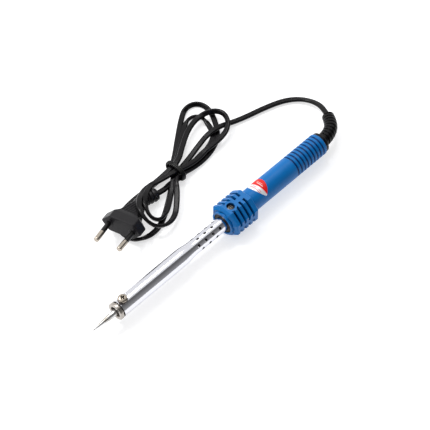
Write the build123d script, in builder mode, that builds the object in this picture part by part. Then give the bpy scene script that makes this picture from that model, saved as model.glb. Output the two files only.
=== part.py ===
from build123d import *
import os
from math import asin, cos, pi, radians, sin, sqrt, tan

# Soldering iron with a blue plastic handle, a chromed barrel, a clamped bit and a tied mains cord.
# Millimetres. The iron's axis runs along X, tip towards -X. It rests on the bottom flat of its guard, and
# the origin lies on the table under the middle of the iron. A station is a distance along the iron; the
# bit's point stands a little in front of station 0.

# ---- Overall sizes and clearances ----
iron_length = 217.0          # from station 0 to the rear end of the handle
guard_across_flats = 24.2    # octagonal guard, which the iron rests on
seat_clearance = 0.03        # radial gap between pieces that seat in each other
running_clearance = 0.05     # radial gap round the sliding bit and the turning screw

# ---- Bit ----
bit_diameter = 4.7
bit_point_station = -2.8
bit_length = 70.8
bit_cone_length = 15.8
bit_point_radius = 0.4
bit_rear_chamfer = 0.5

# ---- Nose collar and its clamp screw ----
collar_station = 17.4
collar_length = 2.5
collar_diameter = 13.0
collar_edge = 0.35           # chamfer on the ring's rim
collar_recess_diameter = 7.9
collar_recess_depth = 1.5
collar_neck_diameter = 10.6
collar_shoulder_gap = 0.3    # from the barrel's mouth to the collar's cone inside it
collar_shoulder_length = 0.5
collar_body_end = 29.0       # station of the back face, inside the barrel
screw_station = 24.6
screw_thread_diameter = 4.0
screw_head_diameter = 6.5
screw_head_height = 2.6
screw_recess_width = 1.0
screw_recess_length = 3.6
screw_recess_depth = 1.3
screw_end_gap = 0.15         # between the screw's end and the bit at rest
washer_diameter = 7.0
washer_thickness = 0.9

# ---- Barrel: a wide front, a short neck and a narrower vented rear ----
barrel_station = 20.8
barrel_front_diameter = 12.8
barrel_rear_diameter = 10.7
barrel_wall = 0.6
barrel_neck_start = 79.0
barrel_neck_length = 10.5
barrel_end = 134.0
vent_diameter = 2.3
vent_rows = 8
vent_start = 92.2
vent_pitch = 6.8
vent_stagger = 2.6           # rows of fewer vents start this much further back
vents_in_long_row = 4

# ---- Heater inside the barrel ----
core_wall = 0.5
core_end = 77.0
heater_start = 36.0
heater_end = 72.0
mica_thickness = 0.4
mica_overhang = 1.5
winding_thickness = 0.8
winding_pitch = 3.0
winding_groove = 0.25
heater_bush_length = 3.5
lead_diameter = 0.7
lead_hole_diameter = 1.1
lead_bend_margin = 1.5       # straight lead left beside the heater's bush and behind the neck
lead_sleeve_diameter = 1.6
lead_sleeve_wall_gap = 0.75  # between a sleeved lead and the barrel's rear bore
lead_sleeve_gap = 5.0        # from the barrel's neck to the sleeves
lead_sleeve_end = 148.0

# ---- Handle: octagonal guard, smooth grip and ringed rear in one moulding ----
guard_station = 118.4
guard_end = 142.0
guard_bevel = 2.6
guard_rear_bevel = 0.7
guard_slots = 4
guard_slot_start = 124.9
guard_slot_pitch = 4.07
guard_slot_width = 1.9
guard_slot_floor = 9.5       # radius of the core between the fins
guard_web = 3.0
mouth_rim_radius = 9.2
mouth_rim_height = 0.9       # the rim stands this far in front of the groove round it
mouth_groove_width = 1.1
insulator_diameter = 15.6
insulator_length = 3.0
holder_diameter = 15.3
holder_start = 122.0
access_hole_diameter = 6.0
access_hole_station = 126.6
access_boss_diameter = 8.6
fixing_screw_diameter = 3.0
fixing_head_diameter = 5.2
fixing_head_height = 1.8
fixing_head_sink = 0.3       # the heads sit this far below the slots' floor
fixing_recess_length = 3.6
handle_diameter = 16.8
handle_wall = 2.2
handle_end_wall = 3.5
grip_grooves = 9
grip_last_groove = 3.4       # from the last groove to the handle's rear end
grip_groove_pitch = 3.28
grip_groove_width = 1.3
grip_groove_depth = 0.9
grip_groove_flare = 0.2      # slope of each groove's sides
guard_overlap = 1.0          # the grip runs this far into the guard
handle_end_fillet = 1.0
label_station = 155.0
label_length = 11.6
label_angle = 20.0           # degrees from the top, away from the label's bare side
label_thickness = 0.12

# ---- Cord, with a round tube of the same section as the flat twin cord ----
cord_width = 4.2
cord_thickness = 2.7
cord_inner_length = 27.0     # sheathed cord inside the handle
core_diameter = 1.6
core_spacing = 1.8
crimp_diameter = 2.6
crimp_length = 12.0
crimp_station = 151.0
crimp_depth = 4.0
core_straight = 4.0          # straight core behind each crimp
core_inlet = 6.0             # straight core in front of the cord's sheath
clamp_from_end = 20.0
clamp_length = 5.0
clamp_gap = 3.0              # width of the wire gap in the clamp's top
boot_flange_diameter = 15.6
boot_flange_length = 2.6
boot_flange_chamfer = 0.8
boot_neck_diameter = 8.2
boot_shoulder_gap = 0.6
boot_shoulder_length = 1.6
boot_base_radius = 5.2
boot_end_radius = 4.5
loft_steps = 6               # sections along each bent sleeve

# ---- Hank, tie and plug ----
hank_height = 10.5
lobe_rounding = 7.0
tie_x = 24.0
tie_y = 59.2
tie_width = 2.2
tie_thickness = 1.7
bundle_width = 15.0
plug_face = (-40.9, 47.1, 12.0)
plug_heading = 197.5         # degrees from +X towards +Y that the pins point
plug_tilt = 10.0             # degrees that the pins rise
plug_width = 31.0
plug_thickness = 13.7
plug_block_length = 7.5
plug_taper_length = 3.5
plug_rear_width = 23.5
plug_rear_thickness = 12.6
plug_block_slope = 6.2       # run of the sloping side, at the block, the step and the grip
plug_rear_slope = 4.7
plug_grip_slope = 3.0
grip_front = (20.5, 11.4)
grip_rear = (11.0, 8.6)
grip_length = 15.0
pin_diameter = 4.0
pin_length = 19.0
pin_core_diameter = 3.0
pin_sleeve_diameter = 3.6
pin_sleeve_length = 10.0
pin_sleeve_gap = 0.1         # the leaning sleeves stay this far off the plug's face
pin_embed = 6.0
pin_end_round = 1.4
pin_spacing = 18.6
pin_tip_spacing = 17.5
tail_start_radius = 4.2
tail_end_radius = 3.6
tail_straight = 6.0
notch_gap = 0.5              # round the plug's block; the softer parts get more
notch_grip_gap = 2.5
notch_tail_gap = 2.2
seat_overlap = 1.0           # how far the cord's solids run into the hank
cut_margin = 1.0             # how far a cut runs past the face that it opens

# ---- Values that follow from the ones above ----
tip_x = -iron_length / 2
axis_height = guard_across_flats / 2
iron_axis = Axis((0, 0, axis_height), (1, 0, 0))
profile_plane = Plane(origin=(tip_x, 0, axis_height), x_dir=(1, 0, 0), z_dir=(0, -1, 0))
bit_radius = bit_diameter / 2
bit_end = bit_point_station + bit_length
barrel_radius = barrel_front_diameter / 2
barrel_bore = barrel_radius - barrel_wall
barrel_rear_radius = barrel_rear_diameter / 2
barrel_rear_bore = barrel_rear_radius - barrel_wall
handle_radius = handle_diameter / 2
handle_end = iron_length
handle_bore = handle_diameter - 2 * handle_wall
cord_section = cord_thickness * (cord_width - cord_thickness) + pi * cord_thickness**2 / 4
cord_diameter = 2 * sqrt(cord_section / pi)
cord_radius = cord_diameter / 2

os.makedirs("parts", exist_ok=True)


def turned_outline(*points):
    """Face bounded by (station, radius) points, in the upright plane through the iron's axis."""
    with BuildSketch(profile_plane) as outline:
        with BuildLine():
            Polyline(*points, close=True)
        make_face()
    return outline.sketch


def cross_plane(station):
    """Plane square to the iron's axis, facing +X, with its x along +Y and its origin on the axis."""
    return Plane(origin=(tip_x + station, 0, axis_height), x_dir=(0, 1, 0), z_dir=(1, 0, 0))


def radial_plane(angle, radius=0.0):
    """Plane facing outward from the axis at an angle from the top, at a radius, with x along the iron."""
    outward = (0, -sin(radians(angle)), cos(radians(angle)))
    origin = (tip_x, radius * outward[1], axis_height + radius * outward[2])
    return Plane(origin=origin, x_dir=(1, 0, 0), z_dir=outward)


def finish(builder, name):
    """Name a finished piece and write it to its own file."""
    builder.part.label = name
    export_step(builder.part, f"parts/{name}.step")


def bend_radii(points):
    """The widest arc that each corner of a route allows."""
    corners = [Vector(*point) for point in points]
    runs = [end - start for start, end in zip(corners, corners[1:])]
    return [
        0.45 * min(before.length, after.length) / tan(radians(before.get_angle(after)) / 2)
        for before, after in zip(runs, runs[1:])
    ]


def easy_path(points):
    """Straight runs joined by the widest tangent arcs that they allow."""
    with BuildLine() as path:
        FilletPolyline(*points, radius=bend_radii(points))
    return path.wire()


def end_plane(path, at_end):
    """Plane square to a path at one of its ends, facing along it."""
    return Plane(origin=path @ at_end, z_dir=path % at_end)


# ---- Bit: conical point on a round shank ----
with BuildPart() as soldering_tip:
    revolve(
        turned_outline(
            (bit_point_station, 0),
            (bit_point_station, bit_point_radius),
            (bit_point_station + bit_cone_length, bit_radius),
            (bit_end - bit_rear_chamfer, bit_radius),
            (bit_end, bit_radius - bit_rear_chamfer),
            (bit_end, 0),
        ),
        axis=iron_axis,
    )
finish(soldering_tip, "soldering_tip")

# ---- Nose collar: the ring in front, a neck, and a body inside the barrel with the tapped hole ----
bush_bore = bit_radius + running_clearance
collar_cone_station = barrel_station + collar_shoulder_gap
with BuildPart() as nose_collar:
    revolve(
        turned_outline(
            (collar_station, collar_recess_diameter / 2),
            (collar_station, collar_diameter / 2 - collar_edge),
            (collar_station + collar_edge, collar_diameter / 2),
            (collar_station + collar_length - collar_edge, collar_diameter / 2),
            (collar_station + collar_length, collar_diameter / 2 - collar_edge),
            (collar_station + collar_length, collar_neck_diameter / 2),
            (collar_cone_station, collar_neck_diameter / 2),
            (collar_cone_station + collar_shoulder_length, barrel_bore - seat_clearance),
            (collar_body_end, barrel_bore - seat_clearance),
            (collar_body_end, bush_bore),
            (collar_station + collar_recess_depth, bush_bore),
            (collar_station + collar_recess_depth, collar_recess_diameter / 2),
        ),
        axis=iron_axis,
    )
    with BuildSketch(radial_plane(0)):
        with Locations((screw_station, 0)):
            Circle(screw_thread_diameter / 2 + running_clearance)
    extrude(amount=barrel_radius, mode=Mode.SUBTRACT)
finish(nose_collar, "nose_collar")

# ---- Clamp screw, upright on top of the barrel, and the washer under its head ----
head_seat = barrel_radius + washer_thickness
screw_end = bit_radius + screw_end_gap
with BuildPart() as tip_screw_washer:
    with BuildSketch(radial_plane(0, barrel_radius)):
        with Locations((screw_station, 0)):
            Circle(washer_diameter / 2)
            Circle(screw_thread_diameter / 2 + running_clearance, mode=Mode.SUBTRACT)
    extrude(amount=washer_thickness)
finish(tip_screw_washer, "tip_screw_washer")

with BuildPart() as tip_screw:
    with BuildSketch(radial_plane(0, screw_end)):
        with Locations((screw_station, 0)):
            Circle(screw_thread_diameter / 2)
    extrude(amount=head_seat - screw_end)
    with BuildSketch(radial_plane(0, head_seat)):
        with Locations((screw_station, 0)):
            Circle(screw_head_diameter / 2)
    extrude(amount=screw_head_height)
    fillet(tip_screw.faces().sort_by(Axis.Z)[-1].edges(), screw_head_height / 2)
    with BuildSketch(radial_plane(0, head_seat + screw_head_height - screw_recess_depth)):
        with Locations((screw_station, 0)):
            Rectangle(screw_recess_length, screw_recess_width)
            Rectangle(screw_recess_width, screw_recess_length)
    extrude(amount=screw_recess_depth, mode=Mode.SUBTRACT)
finish(tip_screw, "tip_screw")

# ---- Barrel tube with its screw hole and rows of vents ----
neck_end = barrel_neck_start + barrel_neck_length
with BuildPart() as barrel_tube:
    revolve(
        turned_outline(
            (barrel_station, barrel_bore),
            (barrel_station, barrel_radius),
            (barrel_neck_start, barrel_radius),
            (neck_end, barrel_rear_radius),
            (barrel_end, barrel_rear_radius),
            (barrel_end, barrel_rear_bore),
            (neck_end, barrel_rear_bore),
            (barrel_neck_start, barrel_bore),
        ),
        axis=iron_axis,
    )
    with BuildSketch(radial_plane(0)):
        with Locations((screw_station, 0)):
            Circle(screw_thread_diameter / 2 + 4 * running_clearance)
    extrude(amount=2 * barrel_radius, mode=Mode.SUBTRACT)
    for row in range(vent_rows):
        short_row = row % 2 == 0
        first_vent = vent_start + (vent_stagger if short_row else 0)
        vents_here = vents_in_long_row - (1 if short_row else 0)
        with BuildSketch(radial_plane(row * 360 / vent_rows)):
            with Locations(*[(first_vent + place * vent_pitch, 0) for place in range(vents_here)]):
                Circle(vent_diameter / 2)
        extrude(amount=2 * barrel_rear_radius, mode=Mode.SUBTRACT)
finish(barrel_tube, "barrel_tube")

# ---- Heater: core tube round the bit, mica, winding, mica, and a ceramic bush behind ----
core_bore = bit_radius + 2 * running_clearance
core_radius = core_bore + core_wall
inner_mica_radius = core_radius + seat_clearance
winding_bore = inner_mica_radius + mica_thickness + seat_clearance
winding_radius = winding_bore + winding_thickness
outer_mica_radius = winding_radius + seat_clearance
lead_radius = (winding_bore + winding_radius) / 2

with BuildPart() as heater_core_tube:
    with BuildSketch(cross_plane(collar_body_end)):
        Circle(core_radius)
        Circle(core_bore, mode=Mode.SUBTRACT)
    extrude(amount=core_end - collar_body_end)
finish(heater_core_tube, "heater_core_tube")

mica_length = heater_end - heater_start + 2 * mica_overhang
with BuildPart() as mica_inner_sleeve:
    with BuildSketch(cross_plane(heater_start - mica_overhang)):
        Circle(inner_mica_radius + mica_thickness)
        Circle(inner_mica_radius, mode=Mode.SUBTRACT)
    extrude(amount=mica_length)
finish(mica_inner_sleeve, "mica_inner_sleeve")

with BuildPart() as heater_winding:
    with BuildSketch(cross_plane(heater_start)):
        Circle(winding_radius)
        Circle(winding_bore, mode=Mode.SUBTRACT)
    extrude(amount=heater_end - heater_start)
    for turn in range(1, round((heater_end - heater_start) / winding_pitch)):
        with BuildSketch(cross_plane(heater_start + turn * winding_pitch)):
            Circle(winding_radius + seat_clearance)
            Circle(winding_radius - winding_groove, mode=Mode.SUBTRACT)
        extrude(amount=winding_groove, mode=Mode.SUBTRACT)
finish(heater_winding, "heater_winding")

with BuildPart() as mica_outer_sleeve:
    with BuildSketch(cross_plane(heater_start - mica_overhang)):
        Circle(outer_mica_radius + mica_thickness)
        Circle(outer_mica_radius, mode=Mode.SUBTRACT)
    extrude(amount=mica_length)
finish(mica_outer_sleeve, "mica_outer_sleeve")

with BuildPart() as heater_rear_bush:
    with BuildSketch(cross_plane(core_end - heater_bush_length)):
        Circle(barrel_bore - seat_clearance)
        Circle(core_radius + seat_clearance, mode=Mode.SUBTRACT)
        with Locations((-lead_radius, 0), (lead_radius, 0)):
            Circle(lead_hole_diameter / 2, mode=Mode.SUBTRACT)
    extrude(amount=heater_bush_length)
finish(heater_rear_bush, "heater_rear_bush")

# ---- Element leads in glass-fibre sleeves, crimped to the cord's cores ----
rear_lead_radius = barrel_rear_bore - lead_sleeve_diameter / 2 - lead_sleeve_wall_gap
lead_places = [(-rear_lead_radius, 0), (rear_lead_radius, 0)]
with BuildPart() as element_leads:
    for side in (-1, 1):
        element_lead_path = easy_path(
            [
                (tip_x + heater_end, side * lead_radius, axis_height),
                (tip_x + core_end + lead_bend_margin, side * lead_radius, axis_height),
                (tip_x + neck_end - lead_bend_margin, side * rear_lead_radius, axis_height),
                (tip_x + crimp_station + crimp_depth, side * rear_lead_radius, axis_height),
            ]
        )
        with BuildSketch(end_plane(element_lead_path, 0)) as element_lead_end:
            Circle(lead_diameter / 2)
        sweep(element_lead_end.sketch, path=element_lead_path)
finish(element_leads, "element_leads")

lead_sleeve_start = neck_end + lead_sleeve_gap
with BuildPart() as lead_sleeves:
    with BuildSketch(cross_plane(lead_sleeve_start)):
        with Locations(*lead_places):
            Circle(lead_sleeve_diameter / 2)
            Circle(lead_diameter / 2 + seat_clearance, mode=Mode.SUBTRACT)
    extrude(amount=lead_sleeve_end - lead_sleeve_start)
finish(lead_sleeves, "lead_sleeves")

crimp_end = crimp_station + crimp_length
with BuildPart() as crimp_connectors:
    with BuildSketch(cross_plane(crimp_station)):
        with Locations(*lead_places):
            Circle(crimp_diameter / 2)
    extrude(amount=crimp_length)
    with BuildSketch(cross_plane(crimp_station)):
        with Locations(*lead_places):
            Circle(lead_diameter / 2 + seat_clearance)
    extrude(amount=crimp_depth, mode=Mode.SUBTRACT)
    with BuildSketch(cross_plane(crimp_end - crimp_depth)):
        with Locations(*lead_places):
            Circle(core_diameter / 2 + seat_clearance)
    extrude(amount=crimp_depth, mode=Mode.SUBTRACT)
finish(crimp_connectors, "crimp_connectors")

cord_inner_start = handle_end - cord_inner_length
with BuildPart() as cord_cores:
    for side in (-1, 1):
        core_path = easy_path(
            [
                (tip_x + crimp_end - crimp_depth, side * rear_lead_radius, axis_height),
                (tip_x + crimp_end + core_straight, side * rear_lead_radius, axis_height),
                (tip_x + cord_inner_start - core_inlet, side * core_spacing / 2, axis_height),
                (tip_x + cord_inner_start, side * core_spacing / 2, axis_height),
            ]
        )
        with BuildSketch(end_plane(core_path, 0)) as core_end_face:
            Circle(core_diameter / 2)
        sweep(core_end_face.sketch, path=core_path)
finish(cord_cores, "cord_cores")

# ---- Cord through the handle and its boot, then the lead that lies on the table ----
flange_x = tip_x + handle_end + boot_flange_length
boot_bends = [
    (flange_x + 6.9, 0, axis_height),
    (flange_x + 17.5, 5.1, axis_height - 0.1),
    (flange_x + 22.4, 13.5, axis_height - 1.9),
]
inner_path = easy_path([(tip_x + cord_inner_start, 0, axis_height), *boot_bends])
with BuildPart() as cord_in_handle:
    with BuildSketch(end_plane(inner_path, 0)) as inner_end_face:
        Circle(cord_radius)
    sweep(inner_end_face.sketch, path=inner_path)
finish(cord_in_handle, "cord_in_handle")

lead_route = [
    (flange_x + 22.4, 13.5, axis_height - 1.9),
    (flange_x + 27.3, 21.9, axis_height - 3.7),
    (flange_x + 29.8, 33.0, 4.4),
    (flange_x + 26.1, 43.6, 2.3),
    (flange_x + 16.5, 51.2, 2.1),
    (flange_x + 1.5, 56.4, 2.1),
    (96.0, 60.4, 2.1),
    (85.0, 64.2, 2.1),
]
lead_path = easy_path(lead_route)
with BuildPart() as mains_cord_lead:
    with BuildSketch(end_plane(lead_path, 0)) as lead_end_face:
        Circle(cord_radius)
    sweep(lead_end_face.sketch, path=lead_path)
finish(mains_cord_lead, "mains_cord_lead")
lead_volume = cord_section * lead_path.length
print("cord diameter", round(cord_diameter, 3), "bend radii", [round(r, 1) for r in bend_radii(lead_route)])
print("lead length", round(lead_path.length, 1), "volume over section times length",
      round(mains_cord_lead.part.volume / lead_volume, 4))

with BuildPart() as cord_clamp:
    with BuildSketch(cross_plane(handle_end - clamp_from_end)):
        Circle(handle_bore / 2 - seat_clearance)
        Circle(cord_radius + seat_clearance, mode=Mode.SUBTRACT)
        with Locations((0, handle_bore / 2)):
            Rectangle(handle_bore, clamp_gap, mode=Mode.SUBTRACT)
    extrude(amount=clamp_length)
finish(cord_clamp, "cord_clamp")

# ---- Strain-relief boot: shoulder and neck in the handle's end wall, flange, bent tapered sleeve ----
boot_shoulder_diameter = handle_bore - 2 * boot_shoulder_gap
boot_path = easy_path([(flange_x, 0, axis_height), *boot_bends])
with BuildPart() as strain_relief_boot:
    for step in range(loft_steps + 1):
        share = step / loft_steps
        with BuildSketch(end_plane(boot_path, share)):
            Circle(boot_base_radius + (boot_end_radius - boot_base_radius) * share)
    loft()
    revolve(
        turned_outline(
            (handle_end - handle_end_wall - boot_shoulder_length, 0),
            (handle_end - handle_end_wall - boot_shoulder_length, boot_shoulder_diameter / 2),
            (handle_end - handle_end_wall, boot_shoulder_diameter / 2),
            (handle_end - handle_end_wall, boot_neck_diameter / 2),
            (handle_end, boot_neck_diameter / 2),
            (handle_end, boot_flange_diameter / 2),
            (handle_end + boot_flange_length - boot_flange_chamfer, boot_flange_diameter / 2),
            (handle_end + boot_flange_length, boot_flange_diameter / 2 - boot_flange_chamfer),
            (handle_end + boot_flange_length, 0),
        ),
        axis=iron_axis,
    )
    with BuildSketch(end_plane(inner_path, 0)) as boot_bore_face:
        Circle(cord_radius + seat_clearance)
    sweep(boot_bore_face.sketch, path=inner_path, mode=Mode.SUBTRACT)
finish(strain_relief_boot, "strain_relief_boot")

# ---- Handle in one moulding ----
holder_radius = holder_diameter / 2
holder_end = barrel_end
insulator_radius = insulator_diameter / 2
octagon_radius = guard_across_flats / 2 / cos(pi / 8)
groove_floor_station = guard_station + mouth_rim_height
access_angles = (0, 180)
head_floor = guard_slot_floor - fixing_head_sink
with BuildPart() as handle:
    with BuildSketch(cross_plane(groove_floor_station)):
        RegularPolygon(radius=octagon_radius, side_count=8, rotation=22.5)
    extrude(amount=guard_end - groove_floor_station)
    chamfer(handle.faces().sort_by(Axis.X)[0].edges(), guard_bevel)
    chamfer(handle.faces().sort_by(Axis.X)[-1].edges(), guard_rear_bevel)
    with BuildSketch(cross_plane(guard_station)):
        Circle(mouth_rim_radius)
    extrude(amount=2 * mouth_rim_height)
    with BuildSketch(cross_plane(groove_floor_station)):
        Circle(mouth_rim_radius + mouth_groove_width)
        Circle(mouth_rim_radius, mode=Mode.SUBTRACT)
    extrude(amount=mouth_rim_height, mode=Mode.SUBTRACT)
    for slot in range(guard_slots):
        slot_front = guard_slot_start + slot * guard_slot_pitch - guard_slot_width / 2
        with BuildSketch(cross_plane(slot_front)):
            Circle(2 * octagon_radius)
            Circle(guard_slot_floor, mode=Mode.SUBTRACT)
            Rectangle(4 * octagon_radius, guard_web, mode=Mode.SUBTRACT)
            Rectangle(guard_web, 4 * octagon_radius, mode=Mode.SUBTRACT)
        extrude(amount=guard_slot_width, mode=Mode.SUBTRACT)
    for angle in access_angles:
        with BuildSketch(radial_plane(angle, holder_radius)):
            with Locations((access_hole_station, 0)):
                Circle(access_boss_diameter / 2)
        extrude(amount=guard_across_flats / 2 - holder_radius)
    grip_outline = turned_outline(
        (guard_end - guard_overlap, 0),
        (guard_end - guard_overlap, handle_radius),
        (handle_end - handle_end_fillet, handle_radius),
        (handle_end, handle_radius - handle_end_fillet),
        (handle_end, 0),
    )
    revolve(grip_outline, axis=iron_axis)
    for groove in range(grip_grooves):
        middle = handle_end - grip_last_groove - groove * grip_groove_pitch
        half_width = grip_groove_width / 2
        revolve(
            turned_outline(
                (middle - half_width - grip_groove_flare, handle_radius + grip_groove_flare),
                (middle - half_width + grip_groove_flare, handle_radius - grip_groove_depth),
                (middle + half_width - grip_groove_flare, handle_radius - grip_groove_depth),
                (middle + half_width + grip_groove_flare, handle_radius + grip_groove_flare),
            ),
            axis=iron_axis,
            mode=Mode.SUBTRACT,
        )
    revolve(
        turned_outline(
            (guard_station - cut_margin, 0),
            (guard_station - cut_margin, insulator_radius + seat_clearance),
            (holder_start, insulator_radius + seat_clearance),
            (holder_start, holder_radius + seat_clearance),
            (holder_end + seat_clearance, holder_radius + seat_clearance),
            (holder_end + seat_clearance, handle_bore / 2),
            (handle_end - handle_end_wall, handle_bore / 2),
            (handle_end - handle_end_wall, boot_neck_diameter / 2 + seat_clearance),
            (handle_end + cut_margin, boot_neck_diameter / 2 + seat_clearance),
            (handle_end + cut_margin, 0),
        ),
        axis=iron_axis,
        mode=Mode.SUBTRACT,
    )
    for angle in access_angles:
        with BuildSketch(radial_plane(angle, head_floor)):
            with Locations((access_hole_station, 0)):
                Circle(access_hole_diameter / 2)
        extrude(amount=octagon_radius, mode=Mode.SUBTRACT)
        with BuildSketch(radial_plane(angle)):
            with Locations((access_hole_station, 0)):
                Circle(fixing_screw_diameter / 2 + running_clearance)
        extrude(amount=octagon_radius, mode=Mode.SUBTRACT)
finish(handle, "handle")

# ---- Oval label laid round the smooth part of the handle ----
with BuildPart() as handle_label:
    with BuildSketch(cross_plane(label_station - label_length / 2)):
        Circle(handle_radius + label_thickness)
        Circle(handle_radius, mode=Mode.SUBTRACT)
    extrude(amount=label_length)
    with BuildSketch(radial_plane(-label_angle)):
        with Locations((label_station, 0)):
            Ellipse(label_length / 2, handle_radius)
    extrude(amount=2 * handle_radius, mode=Mode.INTERSECT)
finish(handle_label, "handle_label")

# ---- Holder between barrel and handle, its two screws, and the black ring in the guard's mouth ----
with BuildPart() as barrel_holder:
    with BuildSketch(cross_plane(holder_start)):
        Circle(holder_radius)
        Circle(barrel_rear_radius + seat_clearance, mode=Mode.SUBTRACT)
    extrude(amount=holder_end - holder_start)
    for angle in access_angles:
        with BuildSketch(radial_plane(angle)):
            with Locations((access_hole_station, 0)):
                Circle(fixing_screw_diameter / 2 + seat_clearance)
        extrude(amount=2 * holder_radius, mode=Mode.SUBTRACT)
finish(barrel_holder, "barrel_holder")

with BuildPart() as barrel_fixing_screws:
    for angle in access_angles:
        with BuildSketch(radial_plane(angle, barrel_rear_radius + seat_clearance)):
            with Locations((access_hole_station, 0)):
                Circle(fixing_screw_diameter / 2)
        extrude(amount=head_floor - barrel_rear_radius - seat_clearance)
        with BuildSketch(radial_plane(angle, head_floor)):
            with Locations((access_hole_station, 0)):
                Circle(fixing_head_diameter / 2)
        extrude(amount=fixing_head_height)
        with BuildSketch(radial_plane(angle, head_floor + fixing_head_height / 2)):
            with Locations((access_hole_station, 0)):
                Rectangle(fixing_recess_length, screw_recess_width)
                Rectangle(screw_recess_width, fixing_recess_length)
        extrude(amount=fixing_head_height, mode=Mode.SUBTRACT)
finish(barrel_fixing_screws, "barrel_fixing_screws")

with BuildPart() as heat_insulator_ring:
    with BuildSketch(cross_plane(holder_start - insulator_length)):
        Circle(insulator_radius)
        Circle(barrel_rear_radius + seat_clearance, mode=Mode.SUBTRACT)
    extrude(amount=insulator_length)
finish(heat_insulator_ring, "heat_insulator_ring")

# ---- Plug ----
heading = radians(plug_heading)
rise = radians(plug_tilt)
plug_outward = Vector(cos(heading) * cos(rise), sin(heading) * cos(rise), sin(rise))
plug_across = Vector(-sin(heading), cos(heading), 0)
plug_plane = Plane(origin=plug_face, x_dir=plug_across, z_dir=plug_outward)
plug_step = plug_block_length + plug_taper_length
plug_body_length = plug_step + grip_length


def plug_section(back, width, thickness, slope):
    """Flattened hexagon square to the plug's axis, some way behind its face, with sloping sides."""
    half_width, half_thickness = width / 2, thickness / 2
    with BuildSketch(plug_plane.offset(-back)) as section:
        with BuildLine():
            Polyline(
                (-half_width, 0),
                (-half_width + slope, half_thickness),
                (half_width - slope, half_thickness),
                (half_width, 0),
                (half_width - slope, -half_thickness),
                (-half_width + slope, -half_thickness),
                close=True,
            )
        make_face()
    return section.sketch


pin_lean = asin((pin_spacing - pin_tip_spacing) / 2 / pin_length)
pin_planes = []
for side in (-1, 1):
    pin_root = Vector(*plug_face) + plug_across * (side * pin_spacing / 2)
    pin_direction = plug_outward * cos(pin_lean) - plug_across * (side * sin(pin_lean))
    pin_planes.append(Plane(origin=pin_root, x_dir=plug_plane.y_dir, z_dir=pin_direction))

with BuildPart() as plug_body:
    extrude(plug_section(0, plug_width, plug_thickness, plug_block_slope), amount=-plug_block_length)
    loft(
        [
            plug_section(plug_block_length, plug_width, plug_thickness, plug_block_slope),
            plug_section(plug_step, plug_rear_width, plug_rear_thickness, plug_rear_slope),
        ]
    )
    loft(
        [
            plug_section(plug_step, *grip_front, plug_grip_slope),
            plug_section(plug_body_length, *grip_rear, plug_grip_slope),
        ]
    )
    for pin_plane in pin_planes:
        with BuildSketch(pin_plane.offset(-pin_embed)) as pin_hole:
            Circle(pin_core_diameter / 2 + seat_clearance)
        extrude(pin_hole.sketch, amount=2 * pin_embed, mode=Mode.SUBTRACT)
finish(plug_body, "plug_body")

with BuildPart() as plug_pins:
    for pin_plane in pin_planes:
        with BuildSketch(pin_plane.offset(-pin_embed)) as pin_core:
            Circle(pin_core_diameter / 2)
        extrude(pin_core.sketch, amount=pin_embed + pin_sleeve_length)
        with BuildSketch(pin_plane.offset(pin_sleeve_length)) as pin_end:
            Circle(pin_diameter / 2)
        extrude(pin_end.sketch, amount=pin_length - pin_sleeve_length)
    pin_tips = plug_pins.edges().filter_by(GeomType.CIRCLE).sort_by(Axis(plug_face, plug_outward))[-2:]
    fillet(pin_tips, pin_end_round)
finish(plug_pins, "plug_pins")

with BuildPart() as plug_pin_sleeves:
    for pin_plane in pin_planes:
        with BuildSketch(pin_plane.offset(pin_sleeve_gap)) as pin_sleeve:
            Circle(pin_sleeve_diameter / 2)
            Circle(pin_core_diameter / 2 + seat_clearance, mode=Mode.SUBTRACT)
        extrude(pin_sleeve.sketch, amount=pin_sleeve_length - pin_sleeve_gap - seat_clearance)
finish(plug_pin_sleeves, "plug_pin_sleeves")

# ---- Bending tail behind the plug's grip ----
tail_root = Vector(*plug_face) - plug_outward * plug_body_length
tail_path = easy_path(
    [
        tuple(tail_root),
        tuple(tail_root - plug_outward * tail_straight),
        (-4.2, 55.4, 5.4),
        (1.2, 54.4, 5.0),
    ]
)
with BuildPart() as plug_strain_relief:
    for step in range(loft_steps + 1):
        share = step / loft_steps
        with BuildSketch(end_plane(tail_path, share)):
            Circle(tail_start_radius + (tail_end_radius - tail_start_radius) * share)
    loft()
finish(plug_strain_relief, "plug_strain_relief")

# ---- Hank: two lobes tied at the waist, notched where the plug lies in its loops ----
waist_low = tie_y - bundle_width / 2 - notch_gap
waist_high = tie_y + bundle_width / 2 + notch_gap
far_lobe = [
    (tie_x - tie_width, waist_low),
    (tie_x - tie_width, waist_high),
    (66.0, 98.5),
    (76.0, 101.0),
    (84.5, 98.0),
    (88.0, 73.0),
    (83.5, 60.0),
    (66.0, 52.5),
]
near_lobe = [
    (tie_x + tie_width, waist_high),
    (tie_x + tie_width, waist_low),
    (-6.0, 30.0),
    (-16.0, 27.5),
    (-30.0, 32.0),
    (-38.5, 44.0),
    (-36.0, 60.0),
    (-24.0, 66.5),
    (8.0, 66.3),
]
notch_front = plug_width / 2 + notch_gap
notch_middle = grip_front[0] / 2 + notch_grip_gap
notch_tail = tail_start_radius + notch_tail_gap
notch_end = plug_body_length + tail_path.length - seat_overlap
notch_sides = [  # distance behind the plug's face, and the notch's two sides there
    (-notch_tail, -notch_front, notch_front),
    (plug_block_length + notch_gap, -notch_front, notch_front),
    (plug_step + notch_gap, -notch_middle, notch_middle),
    (plug_body_length, -notch_tail - 1.0, notch_tail),
    (plug_body_length + tail_straight, -notch_tail - 3.0, notch_tail - 2.0),
    (notch_end, -notch_tail - 4.2, notch_tail - 5.0),
]
notch_plane = Plane(
    origin=(plug_face[0], plug_face[1], 0), x_dir=(-cos(heading), -sin(heading), 0), z_dir=(0, 0, 1)
)
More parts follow.
